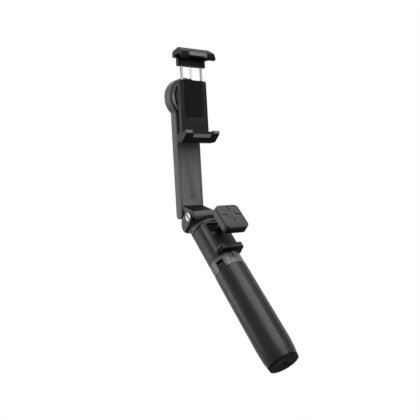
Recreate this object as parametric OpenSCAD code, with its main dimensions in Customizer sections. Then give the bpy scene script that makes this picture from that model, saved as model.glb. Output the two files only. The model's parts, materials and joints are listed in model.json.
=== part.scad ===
// Hand-held roll gimbal on a telescopic tripod grip, all sizes in millimetres.
// X runs to the right, Y to the back, Z up along the arm. The origin is in the middle of the grip.

/* [Grip] */
// Lean of the grip from the arm, in degrees
lean = 42.3; // [30:0.1:50]
// Outer radius of the closed grip
grip_r = 15; // [14:0.1:17]
// Length of one leg under its collar
leg_len = 92; // [80:1:120]
// Wall of one leg
leg_wall = 3.4; // [2.8:0.1:3.5]
// Radius of the grip at its foot end
foot_r = 13.1; // [12:0.1:13.6]
// Height of the rubber foot that shows
foot_h = 2.4; // [1.5:0.1:4]
// Width of the rib that shows between two legs
rib_w = 2.7; // [1.6:0.1:3.5]
// Air on each side of a rib
rib_gap = 0.55; // [0.3:0.05:0.8]
// Width of a leg's hinge tongue
tongue_w = 7; // [5:0.1:8]
// Radius of a leg's hinge pin
leg_pin_r = 0.9; // [0.7:0.05:1]
// Height of the collar that carries the legs
collar_len = 12; // [11.5:0.1:15]

/* [Pole] */
// Outer radius of the fixed core tube
core_r = 10.8; // [10.4:0.1:11]
// Wall of the core tube
core_wall = 1; // [0.8:0.1:1.2]
// Outer radius of the first drawn section
pole_1_r = 9.2; // [9:0.1:9.3]
// Outer radius of the second drawn section
pole_2_r = 7.8; // [7.6:0.1:7.9]
// Outer radius of the third drawn section
pole_3_r = 6.4; // [6:0.1:6.5]
// Wall of a drawn section
pole_wall = 0.8; // [0.6:0.05:0.9]
// Length of a guide ring
ring_len = 6; // [4:0.5:8]

/* [Neck] */
// Distance from the frame point of the hinge down to the neck's top seam
neck_top = 14.4; // [13:0.1:16]
// Height of the neck
neck_len = 36; // [34:0.5:42]
// Distance from the grip's axis to the neck's flat front
dock_n = 14.7; // [14:0.1:16]
// Half width of the flat front
dock_x = 12.2; // [11.8:0.1:13]
// How far the lip stands out of the flat front
lip_out = 5.4; // [4:0.1:7]
// Height of the pocket in the flat front
pocket_h = 10.4; // [9:0.1:12]

/* [Tilt hinge] */
// Hinge axis in front of the grip's axis
hinge_n = 4.9; // [4:0.1:5.5]
// Hinge axis above the frame point
hinge_up = 1; // [0.5:0.1:1.5]
// Radius of the hinge barrel
barrel_r = 5.25; // [4.8:0.05:5.5]
// Radius of the hinge pin
hinge_pin_r = 2.5; // [2:0.05:2.8]
// Radius of the hinge pin's slotted head
pin_head_r = 4; // [3.6:0.1:4.4]
// Radius of a yoke ear's round back
ear_r = 8.8; // [8:0.1:9.5]
// Thickness of a yoke ear
ear_t = 2.1; // [1.6:0.1:3]

/* [Arm] */
// Width of the arm
arm_w = 26.2; // [24:0.1:28]
// Thickness of the arm
arm_t = 9.2; // [8.8:0.1:11]
// Distance from the frame point back to the arm's front face
arm_front = 13.75; // [13.5:0.05:15]
// Wall of the arm's side
arm_wall = 2.6; // [2.4:0.1:3]
// Radius of the arm's long edges
arm_edge = 2.4; // [1.5:0.1:2.4]
// Height of the roll axis over the frame point
roll_z = 118; // [112:1:130]

/* [Roll motor] */
// Outer radius of the motor's fixed can
can_r = 17.2; // [16.8:0.1:18]
// Radius of the motor's shaft
shaft_r = 2.5; // [2:0.05:2.8]
// Number of stator teeth
teeth = 9; // [6:3:12]

/* [Clamp] */
// Width of a jaw
jaw_w = 37.4; // [34:0.2:44]
// Gap between the rubber linings as drawn
grip_gap = 71.7; // [66:0.1:80]
// Depth of a jaw's seat in front of the back plate
seat_d = 9.3; // [8.5:0.1:12]
// Thickness of the back plate
plate_t = 4.2; // [4:0.1:5]
// Radius of a guide rod
rod_r = 1.3; // [1:0.05:1.4]
// Sideways distance of a guide rod from the middle
rod_side = 11; // [9.5:0.1:12.5]
// Travel of the upper jaw down from where it is drawn
jaw_down = 12; // [8:1:12]

/* [Remote] */
// Width of the remote
remote_w = 24.6; // [24.2:0.1:28]
// Height of the remote
remote_h = 26.8; // [26:0.1:30]
// Thickness of the remote
remote_t = 8.2; // [8:0.1:10]
// Distance that the remote stands off its dock as drawn
remote_off = 15.2; // [12:0.1:18]
// Press of a key
key_press = 0.5; // [0.3:0.1:0.6]

/* [Hidden] */
$fn = 64;
// Air between two pieces that move past each other
air = 0.3;
// Air between two fixed pieces that touch in the real thing
snug = 0.05;
// Running clearance of a shaft in its bore
run = 0.05;

// Radius of the collar, the neck and the yoke, a little inside the legs
neck_r = grip_r - 0.2;

// Places down the grip, measured from the frame point
collar_top = neck_top + neck_len + 0.2;
collar_bot = collar_top + collar_len;
leg_pin_l = collar_bot - 5;
leg_top = collar_bot + 0.7;
leg_bot = leg_top + leg_len;
foot_bot = leg_bot + foot_h;
taper_top = leg_bot - 15;
grip_mid = leg_top + 39;
leg_in = grip_r - leg_wall;
leg_pin_at = core_r + 1.9;
leg_pin_half = tongue_w / 2 + 1.6;
eye_r = leg_pin_at - core_r - air;
core_bot = leg_bot - 8;
pole_bot = core_bot - 1;
pole_top = collar_top + 0.1;
core_in = core_r - core_wall;

// Hinge in the arm's frame, where the frame point is zero
hinge_y = hinge_up * sin(lean) - hinge_n * cos(lean);
hinge_z = hinge_n * sin(lean) + hinge_up * cos(lean);
ear_in = arm_w / 2 + 0.35;
ear_out = ear_in + ear_t;
ear_y = 3.3;
ear_z = -0.6;
stub_top = barrel_r - hinge_up + 2.5;
groove = 3.2;
ear_low = stub_top - groove;
web_t = 1.1;
seam = 0.7;
plug_r = 8;
plug_l = neck_top + 6;

// Arm
arm_back = arm_front + arm_t;
arm_mid = arm_front + arm_t / 2;
arm_low = 6.5;
arm_in = arm_w / 2 - arm_wall;
floor_y = arm_back - 1.75;
cover_low = 14.9;
screw_z = cover_low + 7.2;
head_r = can_r + 1.8;
cover_top = roll_z - head_r - 0.8;
board_z = cover_top - 14;
board_h = 22;
battery_low = cover_low + 11.9;
battery_h = board_z - board_h / 2 - 2.4 - battery_low;
roof = 16.5;

// Motor, from front to back
bell_y = 6;
boss_y = 9;
can_y = 8.2;
boss_r = 5.9;
bearing_r = 5;
bell_r = can_r - 2;

// Clamp
plate_y = 0.9;
plate_back = plate_y + plate_t;
lining = 0.7;
seat_low = roll_z - grip_gap / 2 - 0.25 - lining;
seat_high = seat_low + grip_gap + 2 * lining;
lip_y = plate_y - seat_d;
jaw_front = lip_y - 2.6;
ridge_y = jaw_front + 7.8;
jaw_low = seat_low - 7.9;
jaw_high = seat_high + 6.5;
chin_z = seat_high - 2.4;
brow_y = jaw_front + 1.4;
brow_z = seat_high + 2.1;
jaw_lean = 1.7;
base_top = roll_z + 14;
tail_low = base_top + jaw_down + 1;
rod_low = tail_low - 51;
pad_in = 11.6;
inlay_x = 9.7;

// Spring of the jaw, with the least gap between its turns measured on its centre line
spring_low = roll_z - 20.9;
spring_len = tail_low - 0.1 - spring_low;
spring_turns = 12;
spring_r = 1.1;
spring_wire = 0.45;
function coil(a) = [spring_r * cos(a), spring_r * sin(a), spring_len * a / 360 / spring_turns];
spring_gap = min([for (a = [0 : 15 : 720], b = [180 : 15 : 540]) norm(coil(a) - coil(a + b))])
  - 2 * spring_wire;
echo(spring_gap = spring_gap);

// Remote
remote_n = dock_n + 0.3 + remote_off;
remote_l = neck_top + 2.45 + remote_h / 2;
face_n = remote_n + remote_t;
spigot_l = neck_top + 10.6;
pocket_l = neck_top + 2.3;
pocket_x = dock_x - 1.4;
key_top = remote_l - remote_h / 2 + 2.2;
key_mid = remote_l - 1.9;
key_bot = remote_l + remote_h / 2 - 6.8;
key_out = remote_w / 2 - 2;
key_foot_n = face_n - 2.4;
key_groove = 1.1;
disc_r = 4.2;
corner = 4.2;
key_corner = corner - 2;

// Frames and small helpers

// The arm's frame: zero is the frame point, front is minus Y.
module arm_frame() {
  translate([0, grip_mid * sin(lean), grip_mid * cos(lean)])
    children();
}

// The grip's frame: z runs up the grip, front is minus y.
module grip_frame() {
  arm_frame()
    rotate([-lean, 0, 0])
      children();
}

// A flat shape in x and z, thickened from y0 to y1.
module deep(y0, y1) {
  translate([0, y1, 0])
    rotate([90, 0, 0])
      linear_extrude(y1 - y0)
        children();
}

// A flat shape in y and z, thickened to a width across X.
module across(w) {
  rotate([90, 0, 90])
    linear_extrude(w, center = true)
      children();
}

// A round bar along y.
module rod_y(r, y0, y1) {
  translate([0, y1, 0])
    rotate([90, 0, 0])
      cylinder(r = r, h = y1 - y0);
}

// A round bar along x.
module rod_x(r, x0, x1) {
  translate([x0, 0, 0])
    rotate([0, 90, 0])
      cylinder(r = r, h = x1 - x0);
}

// A rectangle with round corners about its middle.
module round_rect(w, h, r) {
  square([w - 2 * r, h], center = true);
  square([w, h - 2 * r], center = true);
  for (sx = [-1, 1], sy = [-1, 1])
    translate([sx * (w / 2 - r), sy * (h / 2 - r)])
      circle(r);
}

// A tube down the grip between two places.
module tube(r_out, r_in, l0, l1) {
  translate([0, 0, -l1])
    difference() {
      cylinder(r = r_out, h = l1 - l0);
      translate([0, 0, -1])
        cylinder(r = r_in, h = l1 - l0 + 2);
    }
}

// The grip's outer skin as a solid of revolution, with its taper at the foot.
module grip_skin(l0, l1, inset) {
  intersection() {
    translate([0, 0, -l1])
      cylinder(r = grip_r + 5, h = l1 - l0);
    rotate_extrude()
      polygon([[0, -leg_bot - foot_h - 1], [foot_r - inset, -leg_bot - foot_h - 1],
        [foot_r - inset, -foot_bot], [grip_r - inset - 0.55, -leg_bot + 6],
        [grip_r - inset, -taper_top], [grip_r - inset, 0], [0, 0]]);
  }
}

// Grip: core, collar and legs

module core_tube() {
  color([0.16, 0.16, 0.17])
    grip_frame()
      union() {
        tube(core_r, core_in, collar_top + 0.4, core_bot);
        for (turn = [0, 120, 240])
          rotate([0, 0, turn])
            intersection() {
              grip_skin(collar_bot + snug, leg_bot - air, 0.05);
              // Below the core the rib is a tongue that stays outside the feet.
              union() {
                translate([-rib_w / 2, -grip_r - 2, -core_bot])
                  cube([rib_w, grip_r + 2 - core_r + 0.4, core_bot]);
                translate([-rib_w / 2, -grip_r - 2, -leg_bot])
                  cube([rib_w, grip_r + 2 - leg_in - air, leg_bot]);
              }
            }
      }
}

module leg_collar() {
  color([0.13, 0.13, 0.14])
    grip_frame()
      difference() {
        tube(neck_r, core_r + snug, collar_top, collar_bot);
        for (turn = [-60, 60, 180])
          rotate([0, 0, turn]) {
            // The notch that the tongue swings in
            translate([-tongue_w / 2 - air, -grip_r - 1, -collar_bot - 1])
              cube([tongue_w + 2 * air, grip_r + 1, collar_bot + 1 - leg_pin_l + eye_r + 2]);
            // The bore of the hinge pin
            translate([0, -leg_pin_at, -leg_pin_l])
              rod_x(leg_pin_r + 0.01, -leg_pin_half - 0.1, leg_pin_half + 0.1);
          }
        // Index notch under the lip
        translate([-5.4, -neck_r - 1, -collar_top - 7.2])
          cube([5, 2.4, 8]);
      }
}

module leg_pins() {
  color([0.72, 0.73, 0.75])
    grip_frame()
      for (turn = [-60, 60, 180])
        rotate([0, 0, turn])
          translate([0, -leg_pin_at, -leg_pin_l])
            rod_x(leg_pin_r, -leg_pin_half, leg_pin_half);
}

// One leg about the front of the grip: shell, hinge tongue and eye.
module leg_shape() {
  difference() {
    union() {
      difference() {
        grip_skin(leg_top, leg_bot, 0);
        translate([0, 0, -leg_bot - 1])
          cylinder(r = leg_in, h = leg_len + 2);
        // The sides run along the ribs, 60 degrees to each hand.
        for (side = [-1, 1])
          rotate([0, 0, side * 60])
            translate([side > 0 ? -rib_w / 2 - rib_gap : -60 + rib_w / 2 + rib_gap, -60, -leg_bot - 1])
              cube([60, 60, leg_len + 2]);
        translate([-60, 0, -leg_bot - 1])
          cube([120, 60, leg_len + 2]);
      }
      // The tongue and its round eye
      translate([-tongue_w / 2, -leg_pin_at - eye_r, -leg_top - 5])
        cube([tongue_w, 2 * eye_r, leg_top + 5 - leg_pin_l]);
      translate([0, -leg_pin_at, -leg_pin_l])
        rod_x(eye_r, -tongue_w / 2, tongue_w / 2);
    }
    translate([0, -leg_pin_at, -leg_pin_l])
      rod_x(leg_pin_r + run, -tongue_w, tongue_w);
    // The tongue's root clears the core
    translate([0, 0, -leg_bot - 1])
      cylinder(r = core_r + air, h = leg_len + 20);
  }
}

module leg_left() {
  color([0.17, 0.17, 0.18])
    grip_frame()
      rotate([0, 0, -60])
        leg_shape();
}

module leg_right() {
  color([0.17, 0.17, 0.18])
    grip_frame()
      rotate([0, 0, 60])
        leg_shape();
}

module leg_rear() {
  color([0.17, 0.17, 0.18])
    grip_frame()
      rotate([0, 0, 180])
        leg_shape();
}

// A third of the rubber end: a dished pad and the plug that holds it in the leg.
module foot_shape() {
  difference() {
    union() {
      grip_skin(leg_bot + snug, foot_bot, 0);
      translate([0, 0, -leg_bot - snug - 0.5])
        cylinder(r = leg_in - snug, h = 5);
    }
    // The dish
    translate([0, 0, -foot_bot - 0.01])
      cylinder(r1 = foot_r - 1.4, r2 = 1.2, h = 1.2);
    translate([0, 0, -foot_bot - 1])
      cylinder(r = 1.2, h = 40);
    translate([0, 0, -leg_bot])
      cylinder(r = leg_in - 4, h = 40);
    // The plug's sides stay as far from the ribs as the leg's do.
    for (side = [-1, 1], cut = [[air, foot_bot + 1], [rib_w / 2 + rib_gap, leg_bot]])
      rotate([0, 0, side * 60])
        translate([side > 0 ? -cut[0] : -60 + cut[0], -60, -cut[1]])
          cube([60, 60, 40]);
    translate([-60, -0.5, -foot_bot - 1])
      cube([120, 60, 40]);
  }
}

module foot_left() {
  color([0.05, 0.05, 0.05])
    grip_frame()
      rotate([0, 0, -60])
        foot_shape();
}

module foot_right() {
  color([0.05, 0.05, 0.05])
    grip_frame()
      rotate([0, 0, 60])
        foot_shape();
}

module foot_rear() {
  color([0.05, 0.05, 0.05])
    grip_frame()
      rotate([0, 0, 180])
        foot_shape();
}

// Telescopic pole

// The ring at the mouth of a tube, which guides the section inside it.
module mouth_ring(bore, inner) {
  tube(bore - snug, inner + run, pole_top + 0.4, pole_top + 0.4 + ring_len);
}

// The slider at the foot of a section, which runs in the tube outside it.
module foot_slider(bore, inner) {
  tube(bore - run, inner + snug, pole_bot - ring_len, pole_bot);
}

module core_ring() {
  color([0.08, 0.08, 0.09])
    grip_frame()
      mouth_ring(core_in, pole_1_r);
}

module pole_1() {
  color([0.62, 0.63, 0.65])
    grip_frame()
      tube(pole_1_r, pole_1_r - pole_wall, pole_top, pole_bot);
}

module slider_1() {
  color([0.85, 0.85, 0.83])
    grip_frame()
      foot_slider(core_in, pole_1_r);
}

module ring_1() {
  color([0.08, 0.08, 0.09])
    grip_frame()
      mouth_ring(pole_1_r - pole_wall, pole_2_r);
}

module pole_2() {
  color([0.64, 0.65, 0.67])
    grip_frame()
      tube(pole_2_r, pole_2_r - pole_wall, pole_top, pole_bot);
}

module slider_2() {
  color([0.85, 0.85, 0.83])
    grip_frame()
      foot_slider(pole_1_r - pole_wall, pole_2_r);
}

module ring_2() {
  color([0.08, 0.08, 0.09])
    grip_frame()
      mouth_ring(pole_2_r - pole_wall, pole_3_r);
}

// The last section runs up into the neck.
module pole_3() {
  color([0.66, 0.67, 0.69])
    grip_frame()
      tube(pole_3_r, pole_3_r - pole_wall, collar_top - 14, pole_bot);
}

module slider_3() {
  color([0.85, 0.85, 0.83])
    grip_frame()
      foot_slider(pole_2_r - pole_wall, pole_3_r);
}

// Neck, dock and yoke

// The slot shape that keeps the remote's spigot from turning.
module spigot_shape(grow) {
  translate([0, -spigot_l]) {
    square([3, 5 + 2 * grow], center = true);
    for (sx = [-1.5, 1.5])
      translate([sx, 0])
        circle(2.5 + grow);
  }
}

module neck_shell() {
  color([0.15, 0.15, 0.16])
    grip_frame()
      difference() {
        union() {
          translate([0, 0, -neck_top - neck_len])
            linear_extrude(neck_len - 0.1) {
              intersection() {
                circle(neck_r);
                translate([-neck_r, -dock_n])
                  square([2 * neck_r, dock_n + neck_r]);
              }
              translate([0, -dock_n / 2])
                round_rect(2 * dock_x, dock_n, 2.5);
            }
          lip();
        }
        // Pocket of the dock
        deep(-dock_n - 1, -dock_n + 3.2)
          translate([0, -pocket_l - pocket_h / 2])
            round_rect(2 * pocket_x, pocket_h, 1.8);
        // Socket of the remote's spigot
        deep(-dock_n - 1, 10)
          spigot_shape(0.1);
        // Bore of the last pole section
        translate([0, 0, -neck_top - neck_len - 1])
          cylinder(r = pole_3_r + 0.02, h = 15);
        // Seat of the yoke's plug
        translate([0, 0, -plug_l - 0.1])
          cylinder(r = plug_r + 0.03, h = 8);
      }
}

// The lip that the remote's lower edge stands on.
module lip() {
  low = -neck_top - neck_len;
  intersection() {
    across(2 * dock_x - 1.2)
      polygon([[-dock_n + 2, low], [-dock_n - lip_out, low],
        [-dock_n - lip_out - 0.2, low + 4.7], [-dock_n - lip_out + 1.6, low + 5.2],
        [-dock_n, low + 6.5], [-dock_n + 2, low + 6.5]]);
    translate([0, 0, low - 1])
      linear_extrude(9)
        translate([0, -(dock_n + lip_out) / 2])
          round_rect(2 * dock_x - 1.4, dock_n + lip_out + 1, 3);
  }
}

module dock_insert() {
  color([0.02, 0.02, 0.02])
    grip_frame()
      deep(-dock_n + 1.5, -dock_n + 3.15)
        difference() {
          translate([0, -pocket_l - pocket_h / 2])
            round_rect(2 * pocket_x - 0.1, pocket_h - 0.1, 1.75);
          spigot_shape(0.1);
        }
}

// An ear's side view: its round back and the eye of the hinge.
module ear_view() {
  hull() {
    translate([ear_y, ear_z])
      circle(ear_r);
    translate([-hinge_n, hinge_up])
      circle(barrel_r);
  }
}

// Plug, round stub and the two ears that hold the tilt hinge.
module yoke() {
  color([0.15, 0.15, 0.16])
    grip_frame()
      difference() {
        union() {
          translate([0, 0, -plug_l])
            cylinder(r = plug_r, h = 8);
          translate([0, 0, -neck_top + seam])
            cylinder(r = neck_r, h = neck_top - seam - stub_top);
          // An ear's outer layer ends over a groove, its inner layer runs down to the stub.
          for (side = [-1, 1]) {
            translate([side * (ear_in + ear_t / 2), 0, 0])
              across(ear_t)
                intersection() {
                  ear_view();
                  translate([-2 * ear_r, -ear_low])
                    square(4 * ear_r);
                }
            translate([side * (ear_in + web_t / 2), 0, 0])
              across(web_t)
                ear_view();
          }
        }
        translate([0, -hinge_n, hinge_up])
          rod_x(hinge_pin_r + 0.02, -40, 40);
      }
}

module hinge_pin() {
  color([0.86, 0.87, 0.88])
    grip_frame()
      translate([0, -hinge_n, hinge_up])
        difference() {
          union() {
            rod_x(hinge_pin_r, -ear_out - 0.5, ear_out + 1.5);
            rod_x(pin_head_r, -ear_out - 1.3, -ear_out - snug);
          }
          translate([-ear_out - 2, -0.7, -10])
            cube([1.5, 1.4, 20]);
        }
}

module hinge_nut() {
  color([0.7, 0.71, 0.72])
    grip_frame()
      translate([0, -hinge_n, hinge_up])
        difference() {
          rod_x(pin_head_r, ear_out + snug, ear_out + 1.6);
          rod_x(hinge_pin_r + 0.02, 0, 40);
        }
}

module hinge_washers() {
  color([0.82, 0.78, 0.66])
    grip_frame()
      translate([0, -hinge_n, hinge_up])
        for (side = [-1, 1])
          difference() {
            translate([side * (ear_in - 0.45), 0, 0])
              rod_x(barrel_r - 1.5, -0.38, 0.38);
            rod_x(hinge_pin_r + 0.02, -40, 40);
          }
}

// Arm

module arm_shell() {
  color([0.3, 0.3, 0.31])
    arm_frame()
      union() {
        difference() {
          union() {
            intersection() {
              across(arm_w) {
                translate([arm_mid, arm_low])
                  circle(arm_t / 2);
                translate([arm_front, arm_low])
                  square([arm_t, roll_z - arm_low]);
              }
              translate([0, arm_mid, 0])
                linear_extrude(roll_z)
                  round_rect(arm_w, arm_t, arm_edge);
            }
            translate([0, 0, roll_z]) {
              rod_y(head_r, arm_front, arm_back);
              rod_y(boss_r, boss_y, arm_front + 1);
            }
          }
          // The hollow, open to the front
          translate([-arm_in, arm_front - 1, 4.6])
            cube([2 * arm_in, floor_y - arm_front + 1, cover_top + 0.15 - 4.6]);
          // Seats of the two bearings and the way of the shaft
          translate([0, 0, roll_z]) {
            rod_y(bearing_r + 0.02, boss_y - 1, boss_y + 3.2);
            rod_y(shaft_r + 0.6, boss_y, arm_back + 1);
            rod_y(bearing_r + 0.02, arm_back - 3.2, arm_back + 1);
          }
          translate([0, 0, screw_z])
            rod_y(1.02, floor_y - 1, floor_y + 1);
        }
        // Two posts carry the control board
        for (side = [-1, 1])
          translate([side * 7, 0, board_z])
            rod_y(1.4, floor_y - 2.8, floor_y + 0.5);
      }
}

// Barrel of the tilt hinge, its sloping foot and the tongue in the arm.
module arm_knuckle() {
  rise = (arm_front - hinge_y + barrel_r * sin(roof)) * tan(roof);
  top_z = hinge_z + barrel_r * cos(roof) + rise;
  color([0.12, 0.12, 0.13])
    arm_frame()
      difference() {
        union() {
          across(2 * ear_in - 2)
            translate([hinge_y, hinge_z])
              circle(barrel_r);
          across(arm_w - 3)
            polygon([[hinge_y - barrel_r * sin(roof), hinge_z + barrel_r * cos(roof)],
              [arm_front - snug, top_z], [arm_front - snug, 5],
              [hinge_y + barrel_r * 0.3, hinge_z - 1.2]]);
          across(2 * arm_in - 0.2)
            polygon([[arm_front - 1, top_z - 1], [arm_front, top_z], [arm_front, cover_low - 0.15],
              [floor_y - snug, cover_low - 0.15], [floor_y - snug, 5], [arm_front - 1, 5]]);
          translate([-8, arm_front + 2.5, cover_low - 1])
            cube([16, floor_y - snug - arm_front - 2.5, screw_z + 3.2 - cover_low + 1]);
        }
        translate([0, hinge_y, hinge_z]) {
          rod_x(hinge_pin_r + run, -40, 40);
          for (side = [-1, 1])
            translate([side * (ear_in - 0.5), 0, 0])
              rod_x(barrel_r + 0.2, -0.5, 0.5);
        }
        translate([0, 0, screw_z])
          rod_y(1.02, arm_front, arm_back);
      }
}

module arm_cover() {
  color([0.22, 0.22, 0.23])
    arm_frame()
      difference() {
        translate([-arm_in + 0.2, arm_front, cover_low])
          cube([2 * arm_in - 0.4, 1.7, cover_top - cover_low]);
        translate([0, 0, screw_z]) {
          rod_y(1.05, arm_front - 1, arm_front + 3);
          rod_y(1.75, arm_front - 1, arm_front + 0.8);
        }
      }
}

module arm_screw() {
  color([0.3, 0.31, 0.32])
    arm_frame()
      translate([0, 0, screw_z])
        difference() {
          union() {
            rod_y(1.7, arm_front + 0.1, arm_front + 0.75);
            rod_y(1, arm_front + 0.5, floor_y + 0.9);
          }
          translate([-0.25, arm_front - 0.5, -3])
            cube([0.5, 0.95, 6]);
        }
}

module arm_battery() {
  color([0.2, 0.35, 0.55])
    arm_frame()
      translate([0, 0, battery_low])
        deep(arm_front + 2.6, floor_y - snug)
          translate([0, battery_h / 2])
            round_rect(2 * arm_in - 4.4, battery_h, 1.5);
}

module arm_board() {
  color([0.08, 0.3, 0.16])
    arm_frame()
      translate([0, 0, board_z])
        deep(floor_y - 4, floor_y - 2.85)
          round_rect(2 * arm_in - 3.4, board_h, 1);
}

// Roll motor

module motor_can() {
  color([0.1, 0.1, 0.11])
    arm_frame()
      translate([0, 0, roll_z])
        difference() {
          rod_y(can_r, can_y, arm_front - snug);
          rod_y(can_r - 1.4, can_y - 1, arm_front + 1);
        }
}

module stator() {
  color([0.55, 0.56, 0.58])
    arm_frame()
      translate([0, 0, roll_z])
        deep(boss_y + 0.9, arm_front - 0.6)
          difference() {
            union() {
              circle(boss_r + 1.6);
              intersection() {
                circle(bell_r - 2.8);
                for (k = [0 : teeth - 1])
                  rotate(k * 360 / teeth)
                    translate([-0.7, 0])
                      square([1.4, bell_r]);
              }
              difference() {
                circle(bell_r - 2.8);
                circle(bell_r - 4);
                for (k = [0 : teeth - 1])
                  rotate((k + 0.5) * 360 / teeth)
                    translate([-0.5, 0])
                      square([1, bell_r]);
              }
            }
            circle(boss_r + snug);
          }
}

module windings() {
  color([0.75, 0.4, 0.18])
    arm_frame()
      translate([0, 0, roll_z])
        deep(boss_y + 0.5, arm_front - 0.2)
          for (k = [0 : teeth - 1])
            rotate(k * 360 / teeth)
              for (side = [-1, 1])
                translate([side * 1.2, boss_r + 3.2])
                  square([0.9, 2.5], center = true);
}

module bearings() {
  color([0.78, 0.79, 0.8])
    arm_frame()
      translate([0, 0, roll_z])
        for (at = [boss_y + 0.15, arm_back - 3.1])
          difference() {
            rod_y(bearing_r, at, at + 3);
            rod_y(shaft_r + 0.03, at - 1, at + 4);
          }
}

module motor_cap() {
  color([0.12, 0.12, 0.13])
    arm_frame()
      translate([0, 0, roll_z])
        difference() {
          rod_y(9, arm_back + snug, arm_back + 1.6);
          rod_y(shaft_r + 0.6, arm_back - 1, arm_back + 0.9);
        }
}

module rotor_bell() {
  color([0.12, 0.12, 0.13])
    arm_frame()
      translate([0, 0, roll_z])
        difference() {
          union() {
            rod_y(9, plate_back + snug, bell_y + 0.5);
            rod_y(bell_r, bell_y, bell_y + 1.6);
            difference() {
              rod_y(bell_r, bell_y, arm_front - 0.8);
              rod_y(bell_r - 1.3, bell_y, arm_front);
            }
          }
          rod_y(shaft_r + 0.02, 0, 20);
          for (turn = [45 : 90 : 315])
            rotate([0, turn, 0])
              translate([6.5, 0, 0])
                rod_y(0.85, 0, 20);
        }
}

module rotor_magnets() {
  color([0.5, 0.5, 0.52])
    arm_frame()
      translate([0, 0, roll_z])
        difference() {
          rod_y(bell_r - 1.35, bell_y + 2.2, arm_front - 1.2);
          rod_y(bell_r - 2.35, bell_y, arm_front);
        }
}

module motor_shaft() {
  color([0.8, 0.81, 0.82])
    arm_frame()
      translate([0, 0, roll_z])
        rod_y(shaft_r, plate_back + 0.1, arm_back + 0.6);
}

// Clamp

// The lower jaw's side view: lip, seat, back plate foot and sloping underside.
module lower_view() {
  polygon([[jaw_front, seat_low - 1.3], [jaw_front, seat_low + 1.2], [lip_y, seat_low + 1.2],
    [lip_y, seat_low], [plate_back, seat_low], [plate_back, jaw_low], [ridge_y, jaw_low]]);
}

module lower_slope(s0, s1, d0, d1) {
  turn = atan2(seat_low - 1.3 - jaw_low, ridge_y - jaw_front);
  translate([jaw_front, seat_low - 1.3])
    rotate(-turn)
      translate([s0, -d1])
        square([s1 - s0, d1 - d0]);
}

module clamp_base() {
  color([0.06, 0.06, 0.07])
    arm_frame()
      difference() {
        union() {
          across(jaw_w)
            lower_view();
          deep(plate_y, plate_back)
            translate([0, (jaw_low + base_top) / 2])
              round_rect(2 * rod_side + 8, base_top - jaw_low, 2);
        }
        // Slot of the spring, open to the back
        translate([-2.2, plate_y + 0.2, spring_low - 0.1])
          cube([4.4, plate_t, base_top]);
        // Bores of the guide rods
        for (side = [-1, 1])
          translate([side * rod_side, plate_y + plate_t / 2, rod_low - jaw_down - 1])
            cylinder(r = rod_r + run, h = base_top);
        // Screw holes of the rotor
        translate([0, 0, roll_z])
          for (turn = [45 : 90 : 315])
            rotate([0, turn, 0])
              translate([6.5, 0, 0]) {
                rod_y(1.05, 0, 20);
                rod_y(1.95, 0, plate_y + 1.3);
              }
        // Bed of the inlay
        across(2 * inlay_x)
          lower_slope(0.2, 4.4, -0.4, 1);
      }
}

module clamp_screws() {
  color([0.3, 0.31, 0.32])
    arm_frame()
      translate([0, 0, roll_z])
        for (turn = [45 : 90 : 315])
          rotate([0, turn, 0])
            translate([6.5, 0, 0]) {
              rod_y(1.9, plate_y + 0.1, plate_y + 1.25);
              rod_y(0.83, plate_y + 1, bell_y + 1.5);
            }
}

module back_pad() {
  color([0.1, 0.1, 0.1])
    arm_frame()
      deep(plate_y - 0.65, plate_y - snug)
        translate([0, roll_z - 3])
          round_rect(20, 34, 2);
}

module lower_pads() {
  color([0.42, 0.42, 0.43])
    arm_frame()
      for (side = [-1, 1])
        translate([side * (pad_in + jaw_w / 2) / 2, 0, 0])
          across(jaw_w / 2 - pad_in)
            polygon([[jaw_front - 0.5, seat_low - 0.5], [jaw_front - 0.5, seat_low + 2.1],
              [lip_y + 0.4, seat_low + 2.1], [lip_y + 0.4, seat_low + lining],
              [plate_y - 0.2, seat_low + lining], [plate_y - 0.2, seat_low + snug],
              [lip_y + snug, seat_low + snug], [lip_y + snug, seat_low + 1.2 + snug],
              [jaw_front - snug, seat_low + 1.2 + snug], [jaw_front - snug, seat_low - 0.5]]);
}

module lower_inlay() {
  color([0.4, 0.4, 0.41])
    arm_frame()
      across(2 * inlay_x - 0.1)
        lower_slope(0.25, 4.35, -0.35, 0.1);
}

// A pull spring between the base and the upper jaw.
module jaw_spring() {
  color([0.75, 0.76, 0.77])
    arm_frame()
      translate([0, plate_y + 0.35 + plate_t / 2, spring_low])
        linear_extrude(spring_len, twist = -360 * spring_turns, slices = 8 * spring_turns, $fn = 6)
          translate([spring_r, 0])
            circle(spring_wire, $fn = 6);
}

// The upper jaw's side view: steep front, lip, seat, tail and sloping top.
module upper_view() {
  polygon([[brow_y, brow_z], [jaw_front, chin_z], [lip_y, chin_z], [lip_y, seat_high],
    [plate_y, seat_high], [plate_y, tail_low], [plate_back, tail_low],
    [plate_back, jaw_high - 2.1], [ridge_y, jaw_high]]);
}

// A flat strip on the steep front, from s0 to s1 up the face and from d0 to d1 out of it.
module upper_front(s0, s1, d0, d1) {
  turn = atan2(brow_z - chin_z, brow_y - jaw_front);
  translate([jaw_front, chin_z])
    rotate(turn)
      translate([s0, d0])
        square([s1 - s0, d1 - d0]);
}

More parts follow.
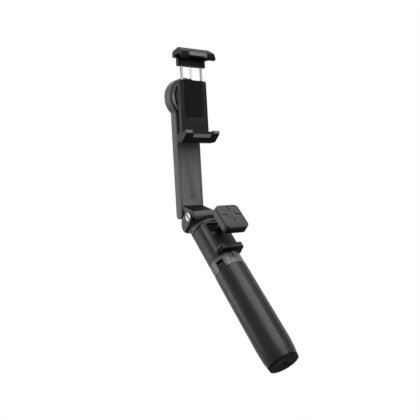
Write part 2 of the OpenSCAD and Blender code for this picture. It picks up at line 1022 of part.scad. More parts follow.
module upper_jaw() {
  color([0.06, 0.06, 0.07])
    arm_frame()
      difference() {
        intersection() {
          across(jaw_w)
            upper_view();
          // The ends lean in over the brow.
          deep(jaw_front - 1, plate_back + 1)
            polygon([[-jaw_w / 2, tail_low - 1], [jaw_w / 2, tail_low - 1], [jaw_w / 2, brow_z],
              [jaw_w / 2 - jaw_lean, jaw_high], [jaw_lean - jaw_w / 2, jaw_high],
              [-jaw_w / 2, brow_z]]);
        }
        for (side = [-1, 1]) {
          // The tail is narrower than the jaw
          translate([side * (rod_side + 14), plate_back, tail_low - 1])
            cube([20, 30, 2 * (seat_high - tail_low) - 2], center = true);
          translate([side * rod_side, plate_y + plate_t / 2, tail_low - 1])
            cylinder(r = rod_r + 0.01, h = 9);
        }
        across(2 * inlay_x)
          upper_front(0.4, 4.3, -0.4, 1);
      }
}

module jaw_rods() {
  color([0.8, 0.81, 0.82])
    arm_frame()
      for (side = [-1, 1])
        translate([side * rod_side, plate_y + plate_t / 2, rod_low])
          cylinder(r = rod_r, h = tail_low + 7.9 - rod_low);
}

module upper_pads() {
  color([0.03, 0.03, 0.03])
    arm_frame()
      for (side = [-1, 1])
        translate([side * (pad_in + jaw_w / 2) / 2, 0, 0])
          across(jaw_w / 2 - pad_in) {
            polygon([[jaw_front - 0.5, chin_z - snug], [jaw_front - 0.5, chin_z - 2.2],
              [lip_y + 0.4, chin_z - 2.2], [lip_y + 0.4, seat_high - lining],
              [plate_y - 0.2, seat_high - lining], [plate_y - 0.2, seat_high - snug],
              [lip_y + snug, seat_high - snug], [lip_y + snug, chin_z - snug]]);
            upper_front(-0.4, 3.4, snug, 0.6);
          }
}

module upper_inlay() {
  color([0.4, 0.4, 0.41])
    arm_frame()
      across(2 * inlay_x - 0.1)
        upper_front(0.45, 4.25, -0.35, 0.1);
}

// Remote, drawn out of its dock on its spigot

module remote_case() {
  color([0.16, 0.16, 0.17])
    grip_frame()
      difference() {
        union() {
          deep(-face_n + 1.85, -remote_n)
            translate([0, -remote_l])
              round_rect(remote_w, remote_h, corner);
          deep(-remote_n - 0.5, -remote_n + remote_off + 8.7)
            spigot_shape(0);
        }
        deep(-face_n, -remote_n - 1.2)
          translate([0, -remote_l])
            round_rect(remote_w - 2.6, remote_h - 2.6, corner - 1.3);
      }
}

module remote_face() {
  color([0.3, 0.3, 0.31])
    grip_frame()
      difference() {
        union() {
          hull() {
            deep(-face_n + 0.6, -face_n + 1.2)
              translate([0, -remote_l])
                round_rect(remote_w - 0.2, remote_h - 0.2, corner - 0.1, $fn = 32);
            deep(-face_n, -face_n + 0.7)
              translate([0, -remote_l])
                round_rect(remote_w - 1.2, remote_h - 1.2, corner - 0.6, $fn = 32);
          }
          // The foot is smaller and leaves a dark seam over the case.
          deep(-face_n + 1, -face_n + 1.8)
            translate([0, -remote_l])
              round_rect(remote_w - 1.8, remote_h - 1.8, corner - 0.9);
        }
        for (side = [-1, 1], row = [-1, 1])
          deep(-face_n - 1, -face_n + 3)
            key_outline(side, row, 0);
        // Four sunk strokes part the keys and stop at a plain disc.
        deep(-face_n - 1, -face_n + 0.9)
          difference() {
            union() {
              translate([0, -(key_top + key_bot) / 2])
                square([key_groove + 0.1, key_bot - key_top], center = true);
              translate([0, -key_mid])
                square([2 * key_out, key_groove + 0.1], center = true);
            }
            translate([0, -key_mid])
              circle(disc_r);
          }
      }
}

// The outline of one key: a quarter of the round field, cut round the plain disc.
module key_outline(side, row, grow) {
  low = row < 0 ? key_top : key_mid + key_groove / 2;
  high = row < 0 ? key_mid - key_groove / 2 : key_bot;
  difference() {
    intersection() {
      translate([side * (key_groove / 2 + key_out) / 2, -(low + high) / 2])
        square([key_out - key_groove / 2 + 2 * grow, high - low + 2 * grow], center = true);
      translate([0, -(key_top + key_bot) / 2])
        round_rect(2 * (key_out + grow), key_bot - key_top + 2 * grow, key_corner + grow);
    }
    translate([0, -key_mid])
      circle(disc_r - grow);
  }
}

module remote_board() {
  color([0.08, 0.3, 0.16])
    grip_frame()
      deep(-remote_n - 4.3, -remote_n - 3.4)
        translate([0, -remote_l])
          round_rect(remote_w - 2.9, remote_h - 2.9, corner - 1.4);
}

module remote_cell() {
  color([0.75, 0.76, 0.77])
    grip_frame()
      translate([0, 0, -remote_l])
        rod_y(8, -remote_n - 3.3, -remote_n - 1.25);
}

// The soft mat under the keys, with one dome for each.
module key_mat() {
  color([0.75, 0.75, 0.72])
    grip_frame() {
      deep(-remote_n - 4.9, -remote_n - 4.35)
        translate([0, -remote_l])
          round_rect(remote_w - 2.9, remote_h - 2.9, corner - 1.4);
      for (sx = [-1, 1], at = [(key_top + key_mid) / 2, (key_mid + key_bot) / 2])
        translate([sx * key_out / 2, 0, -at])
          rod_y(2.2, -key_foot_n + key_press + snug, -remote_n - 4.6);
    }
}

// One key with its hidden flange.
module key_shape(side, row) {
  deep(-face_n, -key_foot_n)
    key_outline(side, row, -0.12);
  deep(-face_n + 1.9, -key_foot_n)
    key_outline(side, row, 0.35);
}

module key_1() {
  color([0.34, 0.34, 0.35])
    grip_frame()
      key_shape(-1, -1);
}

module key_2() {
  color([0.34, 0.34, 0.35])
    grip_frame()
      key_shape(1, -1);
}

module key_3() {
  color([0.34, 0.34, 0.35])
    grip_frame()
      key_shape(-1, 1);
}

module key_4() {
  color([0.34, 0.34, 0.35])
    grip_frame()
      key_shape(1, 1);
}

core_tube();
leg_collar();
leg_pins();
core_ring();
leg_left();
leg_right();
leg_rear();
foot_left();
foot_right();
foot_rear();
pole_1();
slider_1();
ring_1();
pole_2();
slider_2();
ring_2();
pole_3();
slider_3();
neck_shell();
yoke();
dock_insert();
hinge_pin();
hinge_nut();
hinge_washers();
arm_shell();
arm_knuckle();
arm_cover();
arm_screw();
arm_battery();
arm_board();
motor_can();
stator();
windings();
bearings();
motor_cap();
rotor_bell();
rotor_magnets();
motor_shaft();
clamp_base();
clamp_screws();
back_pad();
lower_pads();
lower_inlay();
jaw_spring();
upper_jaw();
jaw_rods();
upper_pads();
upper_inlay();
remote_case();
remote_face();
remote_board();
remote_cell();
key_mat();
key_1();
key_2();
key_3();
key_4();
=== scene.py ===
"""Looks of a hand-held roll gimbal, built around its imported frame."""
import json
import math

import bmesh
import bpy
from mathutils import Matrix, Vector

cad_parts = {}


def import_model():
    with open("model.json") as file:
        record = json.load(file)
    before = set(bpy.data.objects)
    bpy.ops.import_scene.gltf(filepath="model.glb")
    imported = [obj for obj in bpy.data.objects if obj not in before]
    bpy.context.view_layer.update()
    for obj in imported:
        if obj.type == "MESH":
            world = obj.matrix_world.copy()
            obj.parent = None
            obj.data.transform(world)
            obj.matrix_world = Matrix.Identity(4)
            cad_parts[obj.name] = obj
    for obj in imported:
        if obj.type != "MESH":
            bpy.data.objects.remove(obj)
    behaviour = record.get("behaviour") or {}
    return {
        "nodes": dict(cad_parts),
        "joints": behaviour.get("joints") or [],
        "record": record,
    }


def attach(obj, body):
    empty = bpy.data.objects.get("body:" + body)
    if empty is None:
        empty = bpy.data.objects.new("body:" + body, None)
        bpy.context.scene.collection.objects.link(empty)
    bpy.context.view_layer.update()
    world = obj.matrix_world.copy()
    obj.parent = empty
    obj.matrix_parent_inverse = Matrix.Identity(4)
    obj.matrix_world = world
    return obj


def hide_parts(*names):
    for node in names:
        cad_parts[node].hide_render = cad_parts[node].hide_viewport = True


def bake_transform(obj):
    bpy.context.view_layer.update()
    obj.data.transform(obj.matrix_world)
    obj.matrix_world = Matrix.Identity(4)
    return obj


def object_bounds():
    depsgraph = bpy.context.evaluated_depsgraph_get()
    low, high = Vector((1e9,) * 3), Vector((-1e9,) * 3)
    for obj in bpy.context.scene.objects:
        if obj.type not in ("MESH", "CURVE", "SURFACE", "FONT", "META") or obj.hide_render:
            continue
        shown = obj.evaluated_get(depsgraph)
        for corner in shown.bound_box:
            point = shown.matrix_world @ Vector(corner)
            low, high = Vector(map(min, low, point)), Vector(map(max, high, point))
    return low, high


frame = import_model()
cad_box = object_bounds()

NODES = frame["nodes"]
RECORD = frame["record"]
SLOT_OF = {part["node"]: part["material_slot"] for part in RECORD["subparts"]}
BODY_OF = {node: body for body, nodes in RECORD["behaviour"]["bodies"].items() for node in nodes}
JOINTS = {joint["name"]: joint for joint in frame["joints"]}
MM = 0.001

# Camera, fitted to the photograph: place in metres, angles in degrees, lens and sensor in millimetres
CAMERA_AT = Vector((-0.3211, -0.40445, 0.08706))
YAW, PITCH, ROLL = 35.02, -0.21, -3.27
LENS, SENSOR = 52.11, 36.0
NEAREST = 0.01

# Stage, in metres: the floor's depth under the part, its radius, and where it fades to white
FLOOR_DROP = 0.15
FLOOR_R = 2.4
FLOOR_SIDES = 96
FADE_FROM, FADE_TO = 0.1, 0.3
FLOOR_DARK, FLOOR_PALE = (0.76, 0.76, 0.76), (0.78, 0.78, 0.78)

# Strength of the white background as a light
WORLD_LIGHT = 0.16

# Lamps: place, aim, width, height, watts
LAMPS = {
    "front": ((0.1, -0.95, 0.5), (0, 0.0, 0.1), 0.55, 0.45, 4.6),
    "side": ((-0.7, 0.75, 0.05), (0, 0.03, 0.06), 0.4, 0.9, 6.5),
    "top": ((-0.02, -0.42, 0.92), (0, 0.0, 0.04), 0.95, 0.8, 15.5),
}

# Directions
SIDE = Vector((1, 0, 0))
BACK = Vector((0, 1, 0))
UP = Vector((0, 0, 1))
GRIP_AXIS = Vector(JOINTS["pole_1_draw"]["axis"])
GRIP_FRONT = Vector(JOINTS["remote_draw"]["axis"])

# The hinge in millimetres, with heights along the grip's axis
HINGE = Vector(JOINTS["arm_tilt"]["pos_m"]) / MM
BARREL_R = 5.3
PIN_FACE = 16.75
EAR_IN = 13.6
STUB_TOP, STUB_SLACK = 95.6, 0.2
EAR_FILLET, FILLET_SEGMENTS = 2.8, 3
# A dark rib put in the shade under the barrel: its foot height, its gap from the barrel, and its angles
# in degrees
SHADE_RIB_FOOT, SHADE_RIB_GAP, SHADE_RIB_ANGLES = 95.2, 0.3, (-20, -10, 0, 10)

# Where painted shade starts on a piece, in millimetres
GROOVE_LOW, GROOVE_HIGH, GROOVE_TILT = 94.0, 98.9, 0.2
GROOVE_UP = GRIP_AXIS + GRIP_FRONT * GROOVE_TILT
SEAM_LOW, SEAM_HIGH = 87.7, 89.0
LIP_TOP, LIP_BACK, LIP_SIDE = 56.1, 9.0, 11.2
RECESS_BACK, RECESS_TOP = 79.3, 86.3
ARM_FOOT = 85.0

# How squarely a face looks along a direction, from -1 to 1, to count as facing it or away from it
FACING = 0.9
DOWN_THE_GRIP = -0.7
UNDER_KNUCKLE = -0.6
UNDER_ARM = -0.3
UNDER_JAW = -0.2

# The arm's section and the radius of its long edges, in millimetres
ARM_HALF_W, ARM_HALF_T, ARM_MID = 13.1, 4.6, 87.2
ARM_EDGE, ARM_CRISP = 2.4, 0.7
ARC_SLACK, RADIUS_SLACK = 0.02, 0.03

# Mesh clean-up before the edges are rounded: millimetres and degrees
WELD = 0.002
FLAT_ANGLE, SHARP_ANGLE = 0.6, 32.0
BEVEL_SEGMENTS = 2

# Edge radius of each visible piece, in millimetres
EDGES = {
    "leg_left": 0.3, "leg_right": 0.3, "leg_rear": 0.3, "leg_collar": 0.3, "core_tube": 0.2,
    "foot_left": 0.3, "foot_right": 0.3, "foot_rear": 0.3, "neck_shell": 0.4, "yoke": 0.2,
    "arm_shell": 0.5, "arm_knuckle": 0.4, "arm_cover": 0.25, "clamp_base": 0.35, "upper_jaw": 0.35,
    "lower_pads": 0.25, "upper_pads": 0.25, "lower_inlay": 0.1, "upper_inlay": 0.1, "back_pad": 0.2,
    "motor_can": 0.3, "motor_cap": 0.4, "rotor_bell": 0.3, "hinge_pin": 0.12, "hinge_nut": 0.25,
    "remote_case": 0.4, "remote_face": 0.2, "key_1": 0.25, "key_2": 0.25, "key_3": 0.25, "key_4": 0.25,
}


def camera():
    """The camera at the photograph's place and angle."""
    yaw, pitch, roll = (math.radians(a) for a in (YAW, PITCH, ROLL))
    ahead = Vector((math.sin(yaw) * math.cos(pitch), math.cos(yaw) * math.cos(pitch), math.sin(pitch)))
    flat = Vector((math.cos(yaw), -math.sin(yaw), 0))
    rise = flat.cross(ahead)
    right = flat * math.cos(roll) + rise * math.sin(roll)
    up = rise * math.cos(roll) - flat * math.sin(roll)
    data = bpy.data.cameras.new("camera")
    data.lens = LENS
    data.sensor_width = SENSOR
    data.clip_start = NEAREST
    obj = bpy.data.objects.new("camera", data)
    bpy.context.scene.collection.objects.link(obj)
    turn = Matrix((right, up, -ahead)).transposed().to_4x4()
    obj.matrix_world = Matrix.Translation(CAMERA_AT) @ turn
    bpy.context.scene.camera = obj


# Materials. The scale of a pattern is per metre.

class Shader:
    """A principled material with short calls for its nodes."""

    def __init__(self, name, rough, metal=0.0, specular=0.5):
        self.material = bpy.data.materials.new(name)
        self.material.use_nodes = True
        self.tree = self.material.node_tree
        self.out = self.tree.nodes["Principled BSDF"]
        self.out.inputs["Metallic"].default_value = metal
        self.out.inputs["Specular IOR Level"].default_value = specular
        self.out.inputs["Roughness"].default_value = rough
        self.place = self.tree.nodes.new("ShaderNodeTexCoord").outputs["Object"]

    def link(self, a, b):
        self.tree.links.new(a, b)

    def stretched(self, scale):
        """Object coordinates times a scale: a pattern is drawn out where the scale is small."""
        node = self.tree.nodes.new("ShaderNodeMapping")
        node.inputs["Scale"].default_value = scale
        self.link(self.place, node.inputs["Vector"])
        return node.outputs["Vector"]

    def noise(self, scale, detail=2.0, place=None):
        node = self.tree.nodes.new("ShaderNodeTexNoise")
        node.inputs["Scale"].default_value = scale
        node.inputs["Detail"].default_value = detail
        self.link(place or self.place, node.inputs["Vector"])
        return node.outputs["Fac"]

    def cells(self, scale):
        node = self.tree.nodes.new("ShaderNodeTexVoronoi")
        node.inputs["Scale"].default_value = scale
        self.link(self.place, node.inputs["Vector"])
        return node.outputs["Distance"]

    def spread(self, fac, low, high):
        """A number from low to high as the pattern goes from 0.3 to 0.7."""
        node = self.tree.nodes.new("ShaderNodeMapRange")
        node.inputs["From Min"].default_value = 0.3
        node.inputs["From Max"].default_value = 0.7
        node.inputs["To Min"].default_value = low
        node.inputs["To Max"].default_value = high
        self.link(fac, node.inputs["Value"])
        return node.outputs["Result"]

    def between(self, fac, a, b):
        """A colour between two, by the pattern."""
        node = self.tree.nodes.new("ShaderNodeMix")
        node.data_type = "RGBA"
        for socket, colour in (("A", a), ("B", b)):
            slot = [s for s in node.inputs if s.name == socket and s.type == "RGBA"][0]
            if isinstance(colour, tuple):
                slot.default_value = (*colour, 1.0)
            else:
                self.link(colour, slot)
        self.link(fac, node.inputs["Factor"])
        return [s for s in node.outputs if s.type == "RGBA"][0]

    def edges(self, low, high):
        """Rises from nothing to one as the surface goes from low to high pointiness."""
        geometry = self.tree.nodes.new("ShaderNodeNewGeometry")
        node = self.tree.nodes.new("ShaderNodeMapRange")
        node.inputs["From Min"].default_value = low
        node.inputs["From Max"].default_value = high
        self.link(geometry.outputs["Pointiness"], node.inputs["Value"])
        return node.outputs["Result"]

    def relief(self, height, strength, depth):
        """Bump from a pattern, with its depth in millimetres."""
        node = self.tree.nodes.new("ShaderNodeBump")
        node.inputs["Strength"].default_value = strength
        node.inputs["Distance"].default_value = depth * MM
        self.link(height, node.inputs["Height"])
        self.link(node.outputs["Normal"], self.out.inputs["Normal"])


def tinted(colour, share):
    return tuple(min(1.0, c * share) for c in colour)


def moulded(name, colour, rough, specular=0.3, grain=4200.0, depth=0.03, wear=1.5):
    """Moulded plastic: fine spark texture, uneven gloss, edges of another shade by wear."""
    s = Shader(name, rough, specular=specular)
    cloud = s.noise(scale=55.0, detail=4.0)
    body = s.between(cloud, tinted(colour, 0.86), tinted(colour, 1.14))
    worn = s.between(s.edges(low=0.53, high=0.6), body, tinted(colour, wear))
    s.link(worn, s.out.inputs["Base Color"])
    gloss = s.spread(s.noise(scale=140.0, detail=3.0), rough - 0.05, rough + 0.06)
    s.link(gloss, s.out.inputs["Roughness"])
    s.relief(s.noise(grain, detail=3.0), strength=0.5, depth=depth)
    return s.material


def rubber(name, colour, rough=0.75, specular=0.12):
    """Soft rubber: matt, with a pebbled skin and a trace of dust."""
    s = Shader(name, rough, specular=specular)
    dust = s.noise(scale=220.0, detail=5.0)
    body = s.between(dust, tinted(colour, 0.8), tinted(colour, 1.35))
    s.link(body, s.out.inputs["Base Color"])
    s.link(s.spread(dust, rough - 0.08, rough + 0.1), s.out.inputs["Roughness"])
    s.relief(s.cells(scale=2600.0), strength=0.45, depth=0.05)
    return s.material


def metal(name, colour, rough, stretch=(1.0, 1.0, 1.0), grain=900.0):
    """Metal with machining marks, drawn out along the axes where the stretch is small."""
    s = Shader(name, rough, metal=1.0)
    marks = s.noise(grain, detail=3.0, place=s.stretched(stretch))
    body = s.between(marks, tinted(colour, 0.82), tinted(colour, 1.1))
    s.link(body, s.out.inputs["Base Color"])
    s.link(s.spread(marks, max(0.03, rough - 0.06), rough + 0.08), s.out.inputs["Roughness"])
    s.relief(marks, strength=0.25, depth=0.012)
    return s.material


def printed_board(name, colour):
    """Solder mask over a grid of copper tracks."""
    s = Shader(name, rough=0.35)
    brick = s.tree.nodes.new("ShaderNodeTexBrick")
    brick.inputs["Scale"].default_value = 420.0
    brick.inputs["Mortar Size"].default_value = 0.04
    s.link(s.stretched((1.0, 1.0, 0.7)), brick.inputs["Vector"])
    s.link(s.between(brick.outputs["Fac"], colour, tinted(colour, 2.2)), s.out.inputs["Base Color"])
    s.relief(brick.outputs["Fac"], strength=0.3, depth=0.03)
    return s.material


def wound(name, colour):
    """Enamelled wire laid side by side."""
    s = Shader(name, rough=0.28, metal=1.0)
    wave = s.tree.nodes.new("ShaderNodeTexWave")
    wave.bands_direction = "Y"
    wave.inputs["Scale"].default_value = 900.0
    s.link(s.place, wave.inputs["Vector"])
    s.link(s.between(wave.outputs["Fac"], tinted(colour, 0.45), colour), s.out.inputs["Base Color"])
    s.relief(wave.outputs["Fac"], strength=0.8, depth=0.1)
    return s.material


# The finish of each material slot in the record
LOOKS = {
    "grip_plastic": moulded(
        "grip_plastic", (0.006, 0.006, 0.0075), 0.33, specular=0.19, grain=5200.0, depth=0.004,
    ),
    "collar_plastic": moulded(
        "collar_plastic", (0.059, 0.059, 0.061), 0.36, specular=0.3, grain=4600.0, depth=0.012,
    ),
    "neck_plastic": moulded("neck_plastic", (0.017, 0.017, 0.018), 0.42, specular=0.16, grain=3600.0),
    "arm_plastic": moulded("arm_plastic", (0.07, 0.071, 0.074), 0.48, specular=0.2, grain=3800.0),
    "clamp_plastic": moulded("clamp_plastic", (0.006, 0.006, 0.007), 0.4, specular=0.1, grain=3800.0),
    "motor_paint": moulded(
        "motor_paint", (0.016, 0.016, 0.018), 0.4, specular=0.5, grain=5200.0, depth=0.015,
    ),
    "black_rubber": rubber("black_rubber", (0.005, 0.005, 0.005), specular=0.04),
    "grey_rubber": rubber("grey_rubber", (0.1, 0.102, 0.106), 0.6),
    "dock_plastic": moulded("dock_plastic", (0.003, 0.003, 0.003), 0.6, specular=0.02),
    "guide_plastic": moulded("guide_plastic", (0.5, 0.5, 0.48), 0.35, wear=1.1),
    "tube_metal": metal("tube_metal", (0.25, 0.255, 0.265), 0.32, (1.0, 0.12, 0.12)),
    "steel": metal("steel", (0.34, 0.345, 0.36), 0.25, (1.0, 1.0, 0.1)),
    "bright_steel": metal("bright_steel", (0.42, 0.43, 0.445), 0.2, (1.0, 1.0, 0.2), grain=1600.0),
    "dark_screw": metal("dark_screw", (0.065, 0.065, 0.067), 0.5, (1.0, 0.3, 1.0)),
    "washer": moulded("washer", (0.6, 0.55, 0.4), 0.4, wear=1.1),
    "magnet": metal("magnet", (0.4, 0.4, 0.42), 0.3),
    "copper": wound("copper", (0.72, 0.34, 0.16)),
    "board": printed_board("board", (0.01, 0.08, 0.03)),
    "battery": moulded("battery", (0.03, 0.09, 0.22), 0.25, specular=0.5, grain=700.0, depth=0.05),
    "remote_plastic": moulded(
        "remote_plastic", (0.031, 0.031, 0.032), 0.38, specular=0.14, grain=4600.0, wear=2.0,
    ),
    "key_plastic": moulded(
        "key_plastic", (0.033, 0.033, 0.035), 0.4, specular=0.1, grain=4600.0, wear=2.0,
    ),
    "key_silicone": rubber("key_silicone", (0.5, 0.5, 0.48), 0.5),
}

# Pieces with a finish of their own
OWN_LOOKS = {
    "arm_knuckle": moulded("knuckle_plastic", (0.046, 0.046, 0.048), 0.42, specular=0.16),
    "yoke": moulded("yoke_plastic", (0.028, 0.028, 0.029), 0.42, specular=0.16),
    # The two inlays are one grey rubber in two tones, as painted shade and light: the upper one darker,
    # the lower one lighter
    "upper_inlay": rubber("upper_inlay", (0.075, 0.076, 0.08), 0.55),
    "lower_inlay": rubber("lower_inlay", (0.21, 0.213, 0.222), 0.55),
    "jaw_rods": metal("rod_steel", (0.24, 0.245, 0.255), 0.34, (1.0, 1.0, 0.1), grain=600.0),
    "hinge_pin": metal("pin_steel", (0.24, 0.245, 0.25), 0.4, (0.2, 1.0, 1.0), grain=1600.0),
}

# Painted shade for single faces: a near-black for the shade in grooves, seams, recesses and under
# down-facing faces, and a dark steel for the shade in the pin's slot
PAINTED_SHADE_BLACK = moulded("painted_shade_black", (0.004, 0.004, 0.004), 0.55, specular=0.03, wear=1.0)
SLOT_PAINTED_SHADE = metal("slot_painted_shade_steel", (0.03, 0.03, 0.031), 0.45)


def dress():
    """Every node takes its own finish, or that of its slot in the record."""
    for node, slot in SLOT_OF.items():
        data = NODES[node].data
        data.materials.clear()
        data.materials.append(OWN_LOOKS.get(node) or LOOKS[slot])


# Faces with painted shade as a second finish: each test takes a face's middle in millimetres and its
# normal

def in_groove(at, normal):
    """Painted shade on the yoke: its groove under its ears, the faces between them, and the seam at its
    lower edge.
    """
    height = at.dot(GRIP_AXIS)
    over_stub = at.dot(GROOVE_UP) > GROOVE_LOW
    return height < SEAM_HIGH or over_stub and (height < GROOVE_HIGH or abs(at.x) < EAR_IN)


def seam_and_lip(at, normal):
    """Painted shade on the neck: its top edge, faces that look down the grip, and the ends of the lip at
    its foot.
    """
    height = at.dot(GRIP_AXIS)
    lip_end = height < LIP_TOP and abs(at.x) > LIP_SIDE and at.dot(GRIP_FRONT) > LIP_BACK
    return height > SEAM_LOW or lip_end or normal.dot(GRIP_AXIS) < DOWN_THE_GRIP


def on_roof(at, normal):
    """Painted shade on the knuckle: its top past the barrel, its lower half, and the recess beside the
    arm.
    """
    in_recess = abs(normal.x) > FACING and at.y > RECESS_BACK and at.z < RECESS_TOP
    below = at.z < HINGE.z and (normal.z < UNDER_KNUCKLE or abs(normal.x) > FACING)
    past_barrel = normal.z > FACING and (at - HINGE).yz.length > BARREL_R
    return in_recess or below or past_barrel


def in_slot(at, normal):
    """Painted shade in the pin's slot: what lies behind the face of the pin's head."""
    return at.x > -PIN_FACE


def under_arm(at, normal):
    """Painted shade on the underside of the arm's foot."""
    return at.z < ARM_FOOT and normal.z < UNDER_ARM


def under_remote(at, normal):
    """Painted shade on the remote's lower wall."""
    return normal.dot(GRIP_AXIS) < DOWN_THE_GRIP


def under_jaw(at, normal):
    """Painted shade on the slanting front and the underside of the lower jaw."""
    return normal.z < UNDER_JAW


# Test, second finish of painted shade, and the directions and heights where a wall is cut for it
PAINTED_SHADE_LOOKS = {
    "yoke": (in_groove, PAINTED_SHADE_BLACK, ((GROOVE_UP, GROOVE_LOW), (GRIP_AXIS, SEAM_HIGH))),
    "neck_shell": (
        seam_and_lip, PAINTED_SHADE_BLACK,
        ((GRIP_AXIS, SEAM_LOW), (GRIP_AXIS, LIP_TOP), (GRIP_FRONT, LIP_BACK)),
    ),
    "arm_knuckle": (on_roof, PAINTED_SHADE_BLACK, ((BACK, RECESS_BACK), (UP, RECESS_TOP), (UP, HINGE.z))),
    "hinge_pin": (in_slot, SLOT_PAINTED_SHADE, ()),
    "arm_shell": (under_arm, PAINTED_SHADE_BLACK, ()),
    "remote_case": (under_remote, PAINTED_SHADE_BLACK, ()),
    "clamp_base": (under_jaw, PAINTED_SHADE_BLACK, ()),
}


def cut_at(work, up, height):
    """A loop of edges round a piece at a height along a direction."""
    everything = work.verts[:] + work.edges[:] + work.faces[:]
    middle = up * (height * MM / up.length_squared)
    bmesh.ops.bisect_plane(work, geom=everything, dist=1e-7, plane_co=middle, plane_no=up)


# The faces that pass the test take the painted shade as a second material
def add_painted_shade(mesh, test, finish):
    mesh.materials.append(finish)
    for face in mesh.polygons:
        if test(face.center / MM, face.normal):
            face.material_index = 1


# Pieces whose copy gets a finer shape than the solid

def crisp_arm(work):
    """Make the radius of the arm's long edges smaller, by moving their points sideways."""
    for vert in work.verts:
        x, y = vert.co.x / MM, vert.co.y / MM - ARM_MID
        u = abs(x) - ARM_HALF_W + ARM_EDGE
        v = abs(y) - ARM_HALF_T + ARM_EDGE
        if min(u, v) > -ARC_SLACK and abs(math.hypot(u, v) - ARM_EDGE) < RADIUS_SLACK:
            rise = min(ARM_CRISP, max(0.0, v - ARM_EDGE + ARM_CRISP))
            reach = ARM_HALF_W - ARM_CRISP + math.sqrt(ARM_CRISP ** 2 - rise ** 2)
            vert.co.x = math.copysign(reach, x) * MM


def fillet_ears(work):
    """Round the inner corners where the yoke's ears stand on the stub."""
    corners = []
    for edge in work.edges:
        normals = [face.normal for face in edge.link_faces]
        middle = (edge.verts[0].co + edge.verts[1].co) / 2 / MM
        on_stub = abs(middle.dot(GRIP_AXIS) - STUB_TOP) < STUB_SLACK and abs(middle.x) < EAR_IN
        beside_ear = any(abs(n.x) > FACING for n in normals)
        if on_stub and beside_ear and any(n.dot(GRIP_AXIS) > FACING for n in normals):
            corners.append(edge)
    bmesh.ops.bevel(
        work, geom=corners, offset=EAR_FILLET * MM, segments=FILLET_SEGMENTS, profile=0.5, affect="EDGES",
    )


def add_shade_rib(work):
    """A low rib that follows the barrel from ear to ear, so that no light shows under it: a dark sheet,
    painted with the groove's shade, that stands for the shade under the barrel.
    """
    middle_n, middle_h = HINGE.dot(GRIP_FRONT), HINGE.dot(GRIP_AXIS)
    reach = BARREL_R + SHADE_RIB_GAP
    turns = [math.radians(angle) for angle in SHADE_RIB_ANGLES]
    profile = [(middle_n + reach * math.sin(a), middle_h - reach * math.cos(a)) for a in turns]
    profile = [(profile[0][0], SHADE_RIB_FOOT)] + profile + [(profile[-1][0], SHADE_RIB_FOOT)]
    left, right = [], []
    for n, h in profile:
        at = GRIP_FRONT * n + GRIP_AXIS * h
        left.append(work.verts.new((at - SIDE * EAR_IN) * MM))
        right.append(work.verts.new((at + SIDE * EAR_IN) * MM))
    faces = [work.faces.new(left), work.faces.new(right)]
    for i in range(len(profile)):
        faces.append(work.faces.new((left[i - 1], left[i], right[i], right[i - 1])))
    bmesh.ops.recalc_face_normals(work, faces=faces)


def shape_yoke(work):
    fillet_ears(work)
    add_shade_rib(work)


RESHAPE = {"arm_shell": crisp_arm, "yoke": shape_yoke}


def copy_of(node, name):
    """A new object with a copy of a node's mesh."""
    obj = bpy.data.objects.new(name, NODES[node].data.copy())
    bpy.context.scene.collection.objects.link(obj)
    return obj


def softened(node, radius):
    """A copy of a node with its edges rounded, which stands for the node."""
    obj = copy_of(node, node + "_moulded")
    mesh = obj.data
    work = bmesh.new()
    work.from_mesh(mesh)
    bmesh.ops.remove_doubles(work, verts=work.verts, dist=WELD * MM)
    flat = math.radians(FLAT_ANGLE)
    bmesh.ops.dissolve_limit(work, angle_limit=flat, verts=work.verts, edges=work.edges)
    if node in RESHAPE:
        RESHAPE[node](work)
    # Painted shade on chosen faces, with loops cut where it starts
    test, finish, cuts = PAINTED_SHADE_LOOKS.get(node, (None, None, ()))
    for up, height in cuts:
        cut_at(work, up, height)
    work.to_mesh(mesh)
    work.free()
    if test:
        add_painted_shade(mesh, test, finish)
    mesh.shade_smooth()
    mesh.set_sharp_from_angle(angle=math.radians(SHARP_ANGLE))
    bevel = obj.modifiers.new("edges", "BEVEL")
    bevel.width = radius * MM
    bevel.segments = BEVEL_SEGMENTS
    bevel.limit_method = "ANGLE"
    bevel.angle_limit = math.radians(SHARP_ANGLE)
    bevel.use_clamp_overlap = True
    bevel.harden_normals = True
    bevel.miter_outer = "MITER_ARC"
    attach(obj, BODY_OF[node])
    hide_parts(node)


def stretching_spring():
    """A smooth-shaded copy of the clamp's spring, which stands for the node."""
    obj = copy_of("jaw_spring", "jaw_spring_wire")
    obj.data.shade_smooth()
    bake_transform(obj)
    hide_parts("jaw_spring")


# Stage

def seen_white(tree, glow):
    """White to the eye and in reflections, with little light of its own."""
    rays = tree.nodes.new("ShaderNodeLightPath")
    first = tree.nodes.new("ShaderNodeMath")
    first.operation = "MAXIMUM"
    tree.links.new(rays.outputs["Is Camera Ray"], first.inputs[0])
    tree.links.new(rays.outputs["Is Glossy Ray"], first.inputs[1])
    second = tree.nodes.new("ShaderNodeMath")
    second.operation = "MAXIMUM"
    tree.links.new(first.outputs["Value"], second.inputs[0])
    tree.links.new(rays.outputs["Is Transmission Ray"], second.inputs[1])
    level = tree.nodes.new("ShaderNodeMapRange")
    level.inputs["To Min"].default_value = WORLD_LIGHT
    level.inputs["To Max"].default_value = 1.0
    tree.links.new(second.outputs["Value"], level.inputs["Value"])
    tree.links.new(level.outputs["Result"], glow.inputs["Strength"])
    return glow.outputs[0]


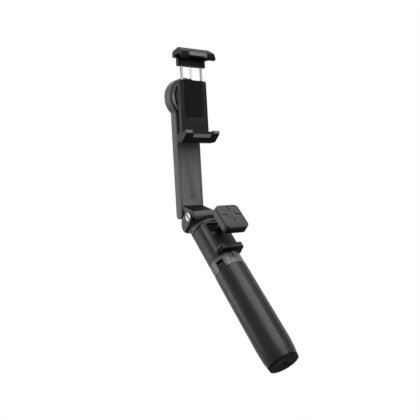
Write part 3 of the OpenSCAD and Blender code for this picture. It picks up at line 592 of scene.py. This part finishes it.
def floor():
    """A pale floor that fades into the white background."""
    mesh = bpy.data.meshes.new("floor")
    work = bmesh.new()
    bmesh.ops.create_circle(work, cap_ends=True, radius=FLOOR_R, segments=FLOOR_SIDES)
    work.to_mesh(mesh)
    work.free()
    obj = bpy.data.objects.new("floor", mesh)
    obj.location = (0, 0, cad_box[0][2] - FLOOR_DROP)
    bpy.context.scene.collection.objects.link(obj)
    s = Shader("floor", rough=0.9, specular=0.0)
    s.link(s.between(s.noise(scale=3.0), FLOOR_DARK, FLOOR_PALE), s.out.inputs["Base Color"])
    length = s.tree.nodes.new("ShaderNodeVectorMath")
    length.operation = "LENGTH"
    s.link(s.place, length.inputs[0])
    fade = s.tree.nodes.new("ShaderNodeMapRange")
    fade.inputs["From Min"].default_value = FADE_FROM
    fade.inputs["From Max"].default_value = FADE_TO
    s.link(length.outputs["Value"], fade.inputs["Value"])
    glow = s.tree.nodes.new("ShaderNodeEmission")
    mix = s.tree.nodes.new("ShaderNodeMixShader")
    s.link(fade.outputs["Result"], mix.inputs["Fac"])
    s.link(s.out.outputs["BSDF"], mix.inputs[1])
    s.link(seen_white(s.tree, glow), mix.inputs[2])
    s.link(mix.outputs["Shader"], s.tree.nodes["Material Output"].inputs["Surface"])
    mesh.materials.append(s.material)


def lamps():
    for name, (at, aim, wide, high, watts) in LAMPS.items():
        data = bpy.data.lights.new(name, "AREA")
        data.shape = "RECTANGLE"
        data.size, data.size_y = wide, high
        data.energy = watts
        obj = bpy.data.objects.new(name, data)
        obj.location = at
        obj.rotation_euler = (Vector(aim) - Vector(at)).to_track_quat("-Z", "Y").to_euler()
        bpy.context.scene.collection.objects.link(obj)


def world():
    sky = bpy.data.worlds.new("studio")
    sky.use_nodes = True
    bpy.context.scene.world = sky
    glow = sky.node_tree.nodes["Background"]
    glow.inputs["Color"].default_value = (1, 1, 1, 1)
    seen_white(sky.node_tree, glow)


camera()
dress()
for name, radius in EDGES.items():
    softened(name, radius)
stretching_spring()
floor()
lamps()
world()
bpy.context.scene.view_settings.view_transform = "Standard"
